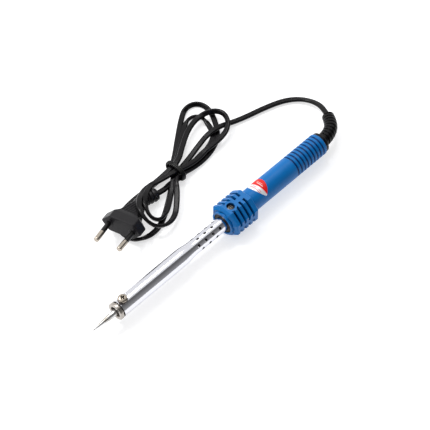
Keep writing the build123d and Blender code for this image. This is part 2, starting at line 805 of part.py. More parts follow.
with BuildPart() as cord_hank:
    for lobe in (far_lobe, near_lobe):
        with BuildSketch() as lobe_outline:
            with BuildLine():
                Polyline(*lobe, close=True)
            make_face()
            away_from_waist = [
                corner for corner in lobe_outline.vertices() if abs(corner.X - tie_x) > 4 * tie_width
            ]
            fillet(away_from_waist, lobe_rounding)
        extrude(amount=hank_height)
    with BuildSketch(Plane.YZ.offset(tie_x - tie_width / 2)) as tie_groove:
        with Locations((tie_y, hank_height / 2)):
            Rectangle(4 * bundle_width, 4 * hank_height)
        with Locations((tie_y, (hank_height + tie_thickness) / 2)):
            Rectangle(bundle_width, hank_height - tie_thickness, mode=Mode.SUBTRACT)
    extrude(tie_groove.sketch, amount=tie_width, mode=Mode.SUBTRACT)
    with BuildSketch(notch_plane):
        with BuildLine():
            Polyline(
                *[(back, low) for back, low, high in notch_sides],
                *[(back, high) for back, low, high in reversed(notch_sides)],
                close=True,
            )
        make_face()
    extrude(amount=2 * hank_height, mode=Mode.SUBTRACT)
finish(cord_hank, "cord_hank")

with BuildPart() as cord_tie:
    with BuildSketch(Plane.YZ.offset(tie_x - tie_width / 2)):
        with Locations((tie_y, (hank_height + tie_thickness) / 2)):
            RectangleRounded(
                bundle_width + 2 * tie_thickness, hank_height + tie_thickness, 2 * tie_thickness
            )
            Rectangle(bundle_width, hank_height - tie_thickness, mode=Mode.SUBTRACT)
    extrude(amount=tie_width)
finish(cord_tie, "cord_tie")

pin_bare_length = pin_length - pin_sleeve_length - pin_end_round
for pin_plane in pin_planes:
    middle = pin_plane.origin + pin_plane.z_dir * (pin_sleeve_length + pin_bare_length / 2)
    print("plug pin: middle", middle, "direction", pin_plane.z_dir, "bare length", round(pin_bare_length, 3))
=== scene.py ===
import math

import bmesh
import bpy
import numpy as np
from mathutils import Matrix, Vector
from mathutils.geometry import delaunay_2d_cdt


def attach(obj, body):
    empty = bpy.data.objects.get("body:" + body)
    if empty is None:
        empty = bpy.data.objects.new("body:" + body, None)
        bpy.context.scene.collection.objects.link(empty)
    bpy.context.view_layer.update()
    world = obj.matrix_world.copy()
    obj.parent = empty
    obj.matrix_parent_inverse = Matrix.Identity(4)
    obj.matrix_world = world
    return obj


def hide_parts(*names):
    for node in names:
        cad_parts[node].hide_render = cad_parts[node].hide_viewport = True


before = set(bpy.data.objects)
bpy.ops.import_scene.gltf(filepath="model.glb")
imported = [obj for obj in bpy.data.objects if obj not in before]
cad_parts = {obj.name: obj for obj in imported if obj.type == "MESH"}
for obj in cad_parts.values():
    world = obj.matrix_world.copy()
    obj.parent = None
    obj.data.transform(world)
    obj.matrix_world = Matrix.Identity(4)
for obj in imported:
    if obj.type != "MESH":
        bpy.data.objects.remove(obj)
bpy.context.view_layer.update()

# Soldering iron with a blue handle, a chromed barrel, a clamped bit and a tied mains cord.
# Shapes are worked out in millimetres in the CAD's frame and scaled to metres once, in solid().

MM = 0.001
TURN = 2 * math.pi
TIP_X = -108.5
AXIS_Z = 12.1
IRON_START = (TIP_X, 0.0, AXIS_Z)

# Stations are distances along the iron from TIP_X; the bit's point is a little in front of station 0.
SCREW_STATION = 24.6
BARREL_START, NECK_START, NECK_END, BARREL_END = 20.8, 79.0, 89.5, 134.0
BARREL_RADIUS, NECK_FALL, BARREL_WALL, VENT_RADIUS = 6.4, 1.05, 0.6, 1.15
REAR_RADIUS = 5.35
GUARD_END, LABEL_STATION, HANDLE_END = 142.0, 155.0, 217.0
GRIP_RADIUS = 8.4


# ---------------------------------------------------------------- camera

def place_camera():
    """Camera on a long lens, 53 degrees above the table, looking across the iron from its tip's side."""
    aim = Vector((11.83, 8.73, 12.07)) * MM
    heading, height, distance = math.radians(45.81), math.radians(53.0), 1.1
    look = Vector((
        math.sin(heading) * math.cos(height),
        math.cos(heading) * math.cos(height),
        -math.sin(height),
    ))
    camera = bpy.data.objects.new("camera", bpy.data.cameras.new("camera"))
    bpy.context.scene.collection.objects.link(camera)
    camera.data.sensor_width = 36.0
    camera.data.lens = 134.18
    camera.data.clip_start, camera.data.clip_end = 0.01, 20.0
    camera.location = aim - look * distance
    camera.rotation_mode = "QUATERNION"
    camera.rotation_quaternion = look.to_track_quat("-Z", "Y")
    bpy.context.scene.camera = camera


place_camera()
bpy.context.scene.view_settings.view_transform = "Standard"


# ---------------------------------------------------------------- shader maths

class Wire:
    """A shader socket that Python's operators work on: each operation adds one Math node."""

    def __init__(self, paint, socket):
        self.paint, self.socket = paint, socket

    def maths(self, operation, first, second=0.0):
        """One Math node on two sockets or numbers."""
        return self.paint.node("ShaderNodeMath", {"operation": operation}, {0: first, 1: second})

    def __add__(self, other):
        return self.maths("ADD", self, other)

    def __radd__(self, other):
        return self.maths("ADD", other, self)

    def __sub__(self, other):
        return self.maths("SUBTRACT", self, other)

    def __rsub__(self, other):
        return self.maths("SUBTRACT", other, self)

    def __mul__(self, other):
        return self.maths("MULTIPLY", self, other)

    def __rmul__(self, other):
        return self.maths("MULTIPLY", other, self)

    def __pow__(self, other):
        return self.maths("POWER", self, other)


class Paint:
    """The node tree of one material or world."""

    def __init__(self, owner):
        owner.use_nodes = True
        self.tree = owner.node_tree
        self.tree.nodes.clear()

    def node(self, kind, settings=None, values=None, out=0):
        """Adds a node: its settings are set first, then the values or links of its sockets."""
        made = self.tree.nodes.new(kind)
        for key, value in (settings or {}).items():
            setattr(made, key, value)
        for key, value in (values or {}).items():
            if isinstance(value, Wire):
                self.tree.links.new(value.socket, made.inputs[key])
            else:
                made.inputs[key].default_value = value
        return Wire(self, made.outputs[out]) if made.outputs else None

    def place(self, stretch=(1.0, 1.0, 1.0)):
        """Object coordinates in millimetres, stretched along each axis."""
        spot = self.node("ShaderNodeTexCoord", out="Object")
        scale = tuple(s / MM for s in stretch)
        return self.node("ShaderNodeVectorMath", {"operation": "MULTIPLY"}, {0: spot, 1: scale})

    def axes(self, vector):
        """The three numbers of a vector."""
        split = self.node("ShaderNodeSeparateXYZ", values={0: vector}).socket.node
        return [Wire(self, split.outputs[axis]) for axis in range(3)]

    def noise(self, vector, size, detail=3.0, rough=0.55):
        """Noise from 0 to 1 whose lumps are about `size` of the vector's units across."""
        return self.node(
            "ShaderNodeTexNoise",
            values={"Vector": vector, "Scale": 1.0 / size, "Detail": detail, "Roughness": rough},
        )

    def step(self, value, low, high, smooth=True):
        """0 below low, 1 above high, easing in between."""
        return self.node(
            "ShaderNodeMapRange",
            {"interpolation_type": "SMOOTHSTEP" if smooth else "LINEAR"},
            {"Value": value, "From Min": low, "From Max": high},
        )

    def blend(self, share, first, second):
        """Mix of two colours."""
        wide = [c if isinstance(c, Wire) else (*c, 1.0) for c in (first, second)]
        return self.node(
            "ShaderNodeMix", {"data_type": "RGBA"}, {0: share, 6: wide[0], 7: wide[1]}, out=2
        )

    def bump(self, height, depth, under=None):
        """Normal of a relief whose height runs from 0 to 1 over `depth` millimetres."""
        values = {"Height": height, "Distance": depth * MM, "Strength": 1.0}
        if under is not None:
            values["Normal"] = under
        return self.node("ShaderNodeBump", values=values)

    def surface(self, **values):
        """Principled surface with those inputs, joined to the output."""
        named = {key.replace("_", " "): value for key, value in values.items()}
        named = {k: (*v, 1.0) if isinstance(v, tuple) and len(v) == 3 else v for k, v in named.items()}
        body = self.node("ShaderNodeBsdfPrincipled", values=named)
        self.node("ShaderNodeOutputMaterial", values={"Surface": body})


def shade(colour, factor):
    """A colour made lighter or darker."""
    return tuple(min(1.0, c * factor) for c in colour)


def mottled(name, colour, roughness, metallic=0.0, spread=0.08, patch=3.0, grain=0.2, depth=0.006,
            stretch=(1.0, 1.0, 1.0), polish=0.06, **more):
    """Finish whose colour and gloss drift over patches, under a fine grain of a depth, all in mm."""
    finish = bpy.data.materials.new(name)
    paint = Paint(finish)
    spot = paint.place(stretch)
    drift = paint.noise(spot, patch, 4.0)
    fine = paint.noise(spot, grain, 2.0)
    paint.surface(
        Base_Color=paint.blend(drift, shade(colour, 1 - spread), shade(colour, 1 + spread)),
        Roughness=roughness - polish + 2 * polish * paint.noise(spot, patch * 0.4),
        Metallic=metallic,
        Normal=paint.bump(fine, depth),
        **more,
    )
    return finish


def chromed_tube():
    """Bright chrome with faint polishing rings, fine hazing, a little straw tint towards the bit, and
    painted shade inside the tube: its inner surface near-black and matt."""
    finish = bpy.data.materials.new("barrel chrome")
    paint = Paint(finish)
    along, across, up = paint.axes(paint.place())
    radius = (across * across + (up - AXIS_Z) * (up - AXIS_Z)) ** 0.5
    outside = BARREL_RADIUS - NECK_FALL * paint.step(along, TIP_X + NECK_START, TIP_X + NECK_END)
    # painted shade: the tube's inner surface is made near-black, matt and not metal
    painted_inner_shade = 1.0 - paint.step(radius - outside, -0.45, -0.12)
    rings = paint.noise(paint.place((1.0, 0.02, 0.02)), 0.35, 3.0)
    haze = paint.noise(paint.place(), 7.0, 5.0)
    warm = 0.35 * (1.0 - paint.step(along, TIP_X + 20.5, TIP_X + 48.5)) + 0.25 * haze
    chrome = paint.blend(warm, (0.74, 0.75, 0.81), (0.73, 0.72, 0.73))
    paint.surface(
        Base_Color=paint.blend(painted_inner_shade, chrome, (0.012, 0.013, 0.020)),
        Metallic=1.0 - painted_inner_shade,
        Roughness=0.10 + 0.07 * haze + 0.03 * rings + 0.4 * painted_inner_shade,
        Normal=paint.bump(rings, 0.0012),
    )
    return finish


def plated_tip():
    """Plated bit: a drawn shank with lengthwise lines, and a cone with darker heat streaks."""
    finish = bpy.data.materials.new("tip plating")
    paint = Paint(finish)
    along, _, _ = paint.axes(paint.place())
    lines = paint.noise(paint.place((0.06, 1.0, 1.0)), 0.5, 4.0)
    blotch = paint.noise(paint.place((0.35, 1.0, 1.0)), 1.6, 5.0, 0.6)
    cone = 1.0 - paint.step(along, TIP_X + 12.0, TIP_X + 14.0)
    worn = cone * paint.step(blotch, 0.46, 0.62)
    point = 1.0 - paint.step(along, TIP_X + 1.5, TIP_X + 4.0)
    plate = paint.blend(lines, (0.58, 0.58, 0.59), (0.80, 0.80, 0.80))
    streaked = paint.blend(worn * (1.0 - 0.6 * point), plate, (0.34, 0.31, 0.26))
    paint.surface(
        Base_Color=streaked,
        Metallic=1.0,
        Roughness=0.17 + 0.16 * lines + 0.10 * worn,
        Normal=paint.bump(lines, 0.004),
    )
    return finish


def nickel_with_painted_recess_shade(name, centre, reach, top, colour):
    """Warm nickel with painted shade inside a recess: near-black within `reach` of the line through `centre`
    along one axis. `top` gives that axis, the height below which that painted shade lies, and which way is
    up."""
    finish = bpy.data.materials.new(name)
    paint = Paint(finish)
    spot = paint.place()
    x, y, z = paint.axes(spot)
    axis, height, sense = top
    offsets = [value - middle for value, middle in zip((x, y, z), centre)]
    along = offsets.pop(axis) * sense
    radius = (offsets[0] * offsets[0] + offsets[1] * offsets[1]) ** 0.5
    # painted shade: inside the recess the nickel is darkened to near-black and made rougher
    painted_recess_shade = 1.0 - paint.step(radius, reach - 0.2, reach + 0.1)
    painted_recess_shade = painted_recess_shade * (1.0 - paint.step(along, height - 0.35, height))
    drift, fine = paint.noise(spot, 1.3, 4.0), paint.noise(spot, 0.14, 2.0)
    plain = paint.blend(drift, shade(colour, 0.75), shade(colour, 1.3))
    paint.surface(
        Base_Color=paint.blend(0.93 * painted_recess_shade, plain, (0.010, 0.008, 0.007)),
        Roughness=0.20 + 0.12 * drift + 0.3 * painted_recess_shade,
        Metallic=1.0,
        Normal=paint.bump(fine, 0.004),
    )
    return finish


def label_print():
    """Oval label: silver-white paper in front and red behind, with plain bars in place of its words.
    The piece's own map holds the distance along the iron (mm/10) and the angle from the top (half turns)."""
    finish = bpy.data.materials.new("label print")
    paint = Paint(finish)
    ahead, round_angle, _ = paint.axes(paint.node("ShaderNodeTexCoord", out="UV"))
    along, angle = ahead * 10.0 - 10.0, round_angle * 360.0 - 180.0
    border = along + 0.45 + 0.021 * angle
    red_part = paint.step(border, -0.08, 0.08)
    rim = paint.step(border, -0.5, -0.35) * (1.0 - red_part)

    def bar(start, end, low, high):
        """1 inside a rectangle of stations and angles."""
        length = paint.step(along, start, start + 0.12) * (1.0 - paint.step(along, end - 0.12, end))
        return length * paint.step(angle, low, low + 1.0) * (1.0 - paint.step(angle, high - 1.0, high))

    marks = bar(-3.9, -3.3, -32.0, 38.0) + bar(-2.6, -2.1, -30.0, -6.0) + bar(-2.6, -2.1, 2.0, 24.0)
    light_marks = bar(1.0, 1.7, -14.0, 26.0) + bar(2.3, 2.7, -4.0, 30.0)
    speck = paint.noise(paint.place(), 0.4, 3.0)
    silver = paint.blend(speck, (0.70, 0.70, 0.74), (0.88, 0.88, 0.90))
    front = paint.blend(marks, silver, (0.62, 0.10, 0.14))
    framed = paint.blend(rim * 0.6, front, (0.80, 0.30, 0.32))
    rear = paint.blend(light_marks, (0.66, 0.012, 0.010), (0.82, 0.62, 0.60))
    paint.surface(
        Base_Color=paint.blend(red_part, framed, rear),
        Roughness=0.32 + 0.12 * speck,
        Metallic=0.35 * (1.0 - red_part),
        Specular_IOR_Level=0.25,
        Normal=paint.bump(speck, 0.004),
    )
    return finish


def moulded_blue():
    """Satin blue plastic with a fine moulded grain, slightly paler where hands polish it,
    with painted shade darkening the guard's slots and the grip's grooves.
    """
    finish = bpy.data.materials.new("handle blue")
    paint = Paint(finish)
    spot = paint.place()
    cloud = paint.noise(spot, 9.0, 4.0)
    grain = paint.noise(spot, 0.16, 2.0)
    flow = paint.noise(paint.place((0.12, 1.0, 1.0)), 2.2, 3.0)
    along, across, up = paint.axes(spot)
    radius = (across * across + (up - AXIS_Z) * (up - AXIS_Z)) ** 0.5
    in_guard = paint.step(along, 14.6, 14.8) * (1.0 - paint.step(along, 30.4, 30.6))
    in_grooves = paint.step(along, 77.5, 78.0) * (1.0 - paint.step(along, 107.0, 107.4))
    # painted shade: the guard's slots and the grip's grooves are darkened towards deep navy
    painted_slot_shade = in_guard * (1.0 - paint.step(radius, 9.6, 11.7))
    deep = painted_slot_shade + in_grooves * (1.0 - paint.step(radius, 7.6, 8.3))
    base = paint.blend(cloud, (0.0010, 0.125, 0.385), (0.0020, 0.152, 0.46))
    satin = paint.blend(0.25 * flow, base, (0.001, 0.098, 0.32))
    paint.surface(
        Base_Color=paint.blend(0.9 * deep, satin, (0.0005, 0.014, 0.085)),
        Roughness=0.26 + 0.10 * cloud + 0.05 * grain,
        Specular_IOR_Level=0.22,
        Normal=paint.bump(grain, 0.007, paint.bump(flow, 0.010)),
    )
    return finish


def make_finishes():
    """Every finish of the iron, by the name of its material slot."""
    return {
        "tip_plating": plated_tip(),
        "nickel_screw": nickel_with_painted_recess_shade("nickel screw", (TIP_X + SCREW_STATION, 0.0, AXIS_Z), 2.05,
                                        (2, 9.45, 1.0), (0.42, 0.37, 0.31)),
        "blued_steel": mottled("blued steel", (0.10, 0.09, 0.09), 0.36, 1.0, 0.25, patch=0.9),
        "nickel_collar": nickel_with_painted_recess_shade("nickel collar", IRON_START, 4.05,
                                         (0, -17.5, -1.0), (0.40, 0.37, 0.34)),
        "barrel_chrome": chromed_tube(),
        "inner_steel": mottled("inner steel", (0.42, 0.41, 0.40), 0.38, 1.0, 0.15),
        "mica": mottled("mica", (0.52, 0.45, 0.32), 0.32, 0.0, 0.2, patch=2.0, depth=0.02),
        "resistance_alloy": mottled("resistance alloy", (0.34, 0.30, 0.27), 0.42, 1.0, 0.2, patch=1.5),
        "ceramic_bush": mottled("ceramic", (0.78, 0.75, 0.68), 0.62, 0.0, 0.06, depth=0.02),
        "glass_fibre": mottled("glass fibre", (0.72, 0.70, 0.62), 0.75, 0.0, 0.12,
                               grain=0.35, depth=0.05, stretch=(0.5, 1.0, 1.0)),
        "crimp_brass": mottled("tinned brass", (0.66, 0.55, 0.36), 0.32, 1.0, 0.12, patch=1.5),
        "core_insulation": mottled("core insulation", (0.16, 0.06, 0.03), 0.42, 0.0, 0.08),
        "cord_pvc": mottled("cord sheath", (0.0035, 0.0030, 0.0038), 0.25, 0.0, 0.3,
                            patch=5.0, grain=0.22, depth=0.006, polish=0.06, Specular_IOR_Level=0.18),
        "clamp_plastic": mottled("clamp plastic", (0.34, 0.33, 0.31), 0.5, 0.0, 0.08),
        "boot_rubber": mottled("boot rubber", (0.0030, 0.0028, 0.0032), 0.26, 0.0, 0.3,
                               patch=4.0, grain=0.25, depth=0.008, polish=0.06, Specular_IOR_Level=0.18),
        "handle_blue": moulded_blue(),
        "label_paper": label_print(),
        "fixing_steel": mottled("fixing steel", (0.09, 0.085, 0.08), 0.34, 1.0, 0.25, patch=0.8),
        "insulator_black": mottled("insulator black", (0.005, 0.005, 0.005), 0.5, 0.0, 0.25, depth=0.012,
                                   Specular_IOR_Level=0.25),
        "tie_black": mottled("tie black", (0.003, 0.003, 0.003), 0.30, 0.0, 0.25, patch=2.0,
                             Specular_IOR_Level=0.18),
        "plug_pvc": mottled("plug mould", (0.008, 0.0072, 0.009), 0.36, 0.0, 0.25,
                            patch=6.0, grain=0.3, depth=0.012, polish=0.06, Specular_IOR_Level=0.25),
        "nickel_pins": mottled("nickel pins", (0.46, 0.41, 0.35), 0.24, 1.0, 0.15,
                               patch=2.0, depth=0.004),
        "pin_sleeve": mottled("pin sleeve", (0.005, 0.005, 0.005), 0.36, 0.0, 0.25, Specular_IOR_Level=0.3),
    }


finishes = make_finishes()


# ---------------------------------------------------------------- shapes

def grid_faces(rows, columns):
    """Quads between neighbouring points of a grid whose point (i, j) is number i * columns + j."""
    i, j = np.meshgrid(np.arange(rows - 1), np.arange(columns - 1), indexing="ij")
    corner = i * columns + j
    return np.stack([corner, corner + 1, corner + columns + 1, corner + columns], -1).reshape(-1, 4)


def grid_shell(points, marks=None):
    """Shell of a grid of points (rows, columns, 3); marks is its own map (rows, columns, 2)."""
    rows, columns = points.shape[:2]
    flat = None if marks is None else marks.reshape(-1, 2)
    return points.reshape(-1, 3), grid_faces(rows, columns), flat


def eased(corners, reach, steps=4):
    """Open outline with each inner corner p turned into the arc (1-t)^2 a + 2t(1-t) p + t^2 b, whose
    ends a and b lie `reach` before and after p, or 0.45 of the edge where that is less."""
    p = np.array(corners, float)
    back, ahead = p[:-2] - p[1:-1], p[2:] - p[1:-1]
    back_length = np.linalg.norm(back, axis=1, keepdims=True)
    ahead_length = np.linalg.norm(ahead, axis=1, keepdims=True)
    wanted = np.broadcast_to(np.asarray(reach, float), len(p) - 2)[:, None]
    a = p[1:-1] + back / back_length * np.minimum(wanted, 0.45 * back_length)
    b = p[1:-1] + ahead / ahead_length * np.minimum(wanted, 0.45 * ahead_length)
    t = np.linspace(0, 1, steps + 1)[None, :, None]
    arcs = (1 - t) ** 2 * a[:, None] + 2 * t * (1 - t) * p[1:-1, None] + t**2 * b[:, None]
    return np.concatenate([p[:1], arcs.reshape(-1, p.shape[1]), p[-1:]])


def turned(profile, turns=96, origin=IRON_START, along=(1.0, 0.0, 0.0), across=(0.0, 1.0, 0.0)):
    """Surface of revolution: profile point (s, r) at angle a is origin + s*along + r*(cos a * across
    + sin a * third), where third is along x across."""
    along, across = np.array(along, float), np.array(across, float)
    third = np.cross(along, across)
    angle = np.linspace(0, TURN, turns + 1)
    ring = np.cos(angle)[:, None] * across + np.sin(angle)[:, None] * third
    s, r = np.array(profile, float).T
    points = np.array(origin) + s[:, None, None] * along + r[:, None, None] * ring[None]
    return grid_shell(points)


def directions(path):
    """Unit directions along a row of points."""
    run = np.gradient(path, axis=0)
    return run / np.linalg.norm(run, axis=1, keepdims=True)


def carried(path, side, outline, caps=True):
    """Outline points (u, v) carried along a path: point = path + u*side + v*(direction x side).
    With caps, a row at the path's first and last point closes each end."""
    rise = np.cross(directions(path), side)
    outline = np.broadcast_to(outline, (len(path), *outline.shape[-2:]))
    points = path[:, None] + outline[..., :1] * side[:, None] + outline[..., 1:] * rise[:, None]
    if caps:
        first = np.broadcast_to(path[:1, None], (1, *points.shape[1:]))
        last = np.broadcast_to(path[-1:, None], (1, *points.shape[1:]))
        points = np.concatenate([first, points, last])
    return grid_shell(points)


def level_side(path):
    """Unit vectors square to the path and level with the table."""
    side = np.cross(directions(path), (0.0, 0.0, 1.0))
    return side / np.linalg.norm(side, axis=1, keepdims=True)


def circle(radius, count=48):
    """Closed circle; radius may be a number or an array of (rows, 1) or (rows, count + 1)."""
    angle = np.linspace(0, TURN, count + 1)
    unit = np.stack([np.cos(angle), np.sin(angle)], -1)
    return np.asarray(radius)[..., None] * unit


def smooth(low, high, value):
    """0 below low, 1 above high, t*t*(3 - 2t) in between."""
    t = np.clip((value - low) / (high - low), 0, 1)
    return t * t * (3 - 2 * t)


def solid(name, shells, sharp=35.0):
    """Mesh object of shells in millimetres: doubles merged, faces turned outward, smooth but for edges
    sharper than `sharp` degrees, with each corner's shading weighted towards its larger faces."""
    mesh = bpy.data.meshes.new(name)
    starts = np.cumsum([0] + [len(shell[0]) for shell in shells])
    points = np.concatenate([shell[0] for shell in shells]) * MM
    faces = [face for shell, start in zip(shells, starts) for face in (np.asarray(shell[1]) + start).tolist()]
    mesh.from_pydata(points.tolist(), [], faces)
    if any(shell[2] is not None for shell in shells):
        marks = np.concatenate([
            np.zeros((len(shell[0]), 2)) if shell[2] is None else shell[2] for shell in shells
        ])
        corner = np.zeros(len(mesh.loops), int)
        mesh.loops.foreach_get("vertex_index", corner)
        mesh.uv_layers.new(name="own_map").data.foreach_set("uv", marks[corner].ravel())
    work = bmesh.new()
    work.from_mesh(mesh)
    bmesh.ops.remove_doubles(work, verts=work.verts, dist=1e-7)
    bmesh.ops.dissolve_degenerate(work, edges=work.edges, dist=1e-8)
    bmesh.ops.recalc_face_normals(work, faces=work.faces)
    work.to_mesh(mesh)
    work.free()
    mesh.shade_smooth()
    mesh.set_sharp_from_angle(angle=math.radians(sharp))
    piece = bpy.data.objects.new(name, mesh)
    bpy.context.scene.collection.objects.link(piece)
    even = piece.modifiers.new("even shading", "WEIGHTED_NORMAL")
    even.keep_sharp = True
    return piece


def fit(piece, body, slot, *nodes):
    """Gives a piece its finish and its body, and hides the CAD nodes that it stands for."""
    piece.data.materials.clear()
    piece.data.materials.append(finishes[slot])
    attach(piece, body)
    if nodes:
        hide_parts(*nodes)
    return piece


def spline_points(name, route):
    """Points along a smooth NURBS line that has the route's points as its control points."""
    curve = bpy.data.curves.new(name, "CURVE")
    curve.dimensions = "3D"
    curve.resolution_u = 12
    line = curve.splines.new("NURBS")
    line.points.add(len(route) - 1)
    line.points.foreach_set("co", np.c_[np.array(route) * MM, np.ones(len(route))].ravel())
    line.order_u = 3
    line.use_endpoint_u = True
    holder = bpy.data.objects.new(name, curve)
    bpy.context.scene.collection.objects.link(holder)
    bpy.context.view_layer.update()
    mesh = bpy.data.meshes.new_from_object(holder)
    points = np.zeros(len(mesh.vertices) * 3)
    mesh.vertices.foreach_get("co", points)
    bpy.data.objects.remove(holder)
    bpy.data.meshes.remove(mesh)
    return points.reshape(-1, 3) / MM


# ---------------------------------------------------------------- mains cord, boot, tie and plug

CORD_WIDTH, CORD_THICKNESS = 4.2, 2.7
BOOT_ROUTE = [(111.1, 0, 12.1), (118.0, 0, 12.1), (128.6, 5.1, 12.0), (133.5, 13.5, 10.2)]

# The lead from the boot, then the hank: wide and narrow loops in turn, tied together at x = 24.
CORD_ROUTE = [
    (133.5, 13.5, 10.2), (138.4, 21.9, 8.4), (140.9, 33.0, 4.4), (137.2, 43.6, 2.3),
    (127.6, 51.2, 2.1), (112.6, 56.4, 2.1), (96.0, 60.4, 2.1), (85.0, 64.2, 2.1),
    # under the last far loop and into the tie
    (75.5, 65.6, 5.5), (64.5, 66.8, 5.4), (53.5, 65.4, 3.2), (42.1, 62.8, 2.0), (33.9, 61.2, 1.8),
    # large near loop, on the table under the plug
    (24, 59.4, 1.7), (16.0, 55.0, 1.7), (4.3, 46.3, 1.7), (-9.6, 37.5, 1.7), (-19.3, 33.8, 1.7),
    (-28.9, 34.2, 1.7), (-36.8, 38.2, 1.7), (-39.5, 45.5, 1.7), (-37.4, 54.6, 1.7),
    (-29.0, 61.8, 1.7), (-14.5, 64.1, 1.7), (-0.5, 63.9, 1.7), (10.7, 63.8, 1.7),
    # largest far loop
    (23, 64.6, 1.7), (32, 69.0, 1.8), (49, 82.3, 1.8), (63.6, 93.2, 1.8), (71.6, 97.6, 1.8),
    (79.7, 96.3, 1.8), (83.6, 90.3, 1.8), (83.0, 82.5, 1.8), (79.0, 74.4, 1.8), (73.7, 66.6, 1.8),
    (67.2, 60.4, 1.8), (58.2, 56.4, 1.8), (47.2, 54.2, 1.8), (34.7, 54.2, 2.6),
    # near loop over the plug's grip
    (24, 54.8, 5.4), (17.5, 53.2, 7.6), (11.9, 45.7, 7.2), (3.8, 37.9, 6.0), (-3.8, 31.8, 5.2),
    (-12.9, 29.1, 6.2), (-21.4, 31.4, 9.0), (-24.8, 37.2, 12.6), (-23.9, 45.3, 15.8),
    (-17.9, 53.6, 15.2), (-7.5, 60.1, 10.0), (2.0, 61.6, 7.6), (10.5, 59.8, 7.6),
    (24, 57.4, 8.0),
    # smallest far loop
    (35, 56.0, 5.6), (46.8, 56.2, 4.9), (60.8, 59.6, 4.4), (69.2, 66.0, 2.0), (72.8, 74.6, 1.9),
    (74.6, 81.5, 1.9), (72.2, 87.4, 1.9), (65.0, 88.9, 1.9), (56.9, 84.4, 1.9), (46.7, 76.5, 2.4),
    (33.4, 67.6, 4.0),
    # smallest near loop
    (24, 60.5, 4.9), (15.5, 53.6, 4.6), (6.8, 47.0, 3.8), (-5.4, 38.4, 4.6), (-14.6, 35.6, 6.0),
    (-18.8, 40.4, 8.4), (-16.4, 48.4, 11.6), (-9.8, 55.6, 12.2), (-0.6, 60.6, 8.6), (8.5, 62.0, 5.6),
    (20, 62.4, 6.4),
    # last far loop, on top of the others
    (30.8, 63.2, 7.4), (43.3, 71.8, 6.2), (56.0, 79.2, 5.8), (67.7, 82.6, 5.6), (77.4, 81.6, 5.8),
    (83.0, 78.1, 6.2), (85.4, 71.9, 7.0), (83.2, 65.2, 7.2), (78.0, 60.1, 6.4), (70.0, 57.6, 5.6),
    (60.0, 57.2, 5.4), (48.8, 57.6, 5.0), (37.0, 56.4, 3.2),
    # through the tie and into the plug's tail
    (24, 54.8, 1.8), (14.0, 55.8, 2.6), (7, 53.4, 4.6), (1.2, 54.4, 5.0),
]


def flat_twin(count=24):
    """Outline of flat twin cord: two round ends of the sheath's thickness joined by flats, with a
    shallow valley over the web between the cores."""
    angle = np.linspace(0, TURN, count + 1)
    half, offset = CORD_THICKNESS / 2, (CORD_WIDTH - CORD_THICKNESS) / 2
    u = half * np.cos(angle) + offset * np.tanh(4 * np.cos(angle))
    v = half * np.sin(angle) * (1 - 0.14 * np.exp(-(u / 0.55) ** 2))
    return np.stack([u, v], -1)


def make_cord():
    """Flat twin cord along its spline. It lies flat, and rolls onto its edge in tight bends: the roll
    is 65 degrees times a smooth step of the level curvature, evened out along the cord."""
    path = spline_points("cord line", CORD_ROUTE)
    run = directions(path)
    gap = np.linalg.norm(np.gradient(path, axis=0), axis=1)
    bend = np.linalg.norm(np.gradient(run, axis=0), axis=1) / gap
    window = np.hanning(41) / np.hanning(41).sum()
    even = np.convolve(np.pad(bend, 20, mode="edge"), window, mode="valid")
    ends = smooth(0, 20, np.arange(len(path))) * smooth(0, 20, np.arange(len(path))[::-1])
    roll = math.radians(65) * smooth(0.03, 0.085, even) * ends
    side = level_side(path)
    rise = np.cross(run, side)
    side = np.cos(roll)[:, None] * side + np.sin(roll)[:, None] * rise
    reach = CORD_THICKNESS / 2 + (CORD_WIDTH - CORD_THICKNESS) / 2 * np.sin(roll)
    lifted = path.copy()
    lifted[:, 2] = np.maximum(path[:, 2], reach + 0.05)
    piece = solid("mains_cord", [carried(lifted, side, flat_twin())], 60.0)
    length = np.linalg.norm(np.diff(path, axis=0), axis=1).sum() * MM
    return fit(piece, "iron", "cord_pvc", "mains_cord_lead", "cord_hank"), path, length


def make_boot():
    """Flange against the handle, and a bent tapering sleeve whose radius is cut by a spiral groove:
    depth times a rounded step of cos(2 pi (s / pitch) + a)."""
    flange = turned(eased([
        (217.05, 0), (217.05, 7.8), (219.6, 7.8), (219.6, 5.2), (219.6, 0),
    ], [0.25, 0.8, 0.3], 5), 72)
    line = spline_points("boot line", BOOT_ROUTE)
    reach = np.r_[0, np.cumsum(np.linalg.norm(np.diff(line, axis=0), axis=1))]
    s = np.linspace(0, reach[-1], 200)
    path = np.stack([np.interp(s, reach, line[:, axis]) for axis in range(3)], -1)
    share = s / s[-1]
    angle = np.linspace(0, TURN, 73)
    wave = np.cos(TURN * s[:, None] / 2.85 + angle[None])
    groove = smooth(0.1, 0.75, wave) * smooth(0.02, 0.10, share)[:, None] * smooth(1, 0.93, share)[:, None]
    radius = (5.35 - 0.8 * share)[:, None] - 1.0 * groove
    radius *= (1 - 0.35 * smooth(0.985, 1.0, share))[:, None]
    sleeve = carried(path, level_side(path), circle(radius, 72))
    return fit(solid("cord_boot", [flange, sleeve], 50.0), "iron", "boot_rubber", "strain_relief_boot")


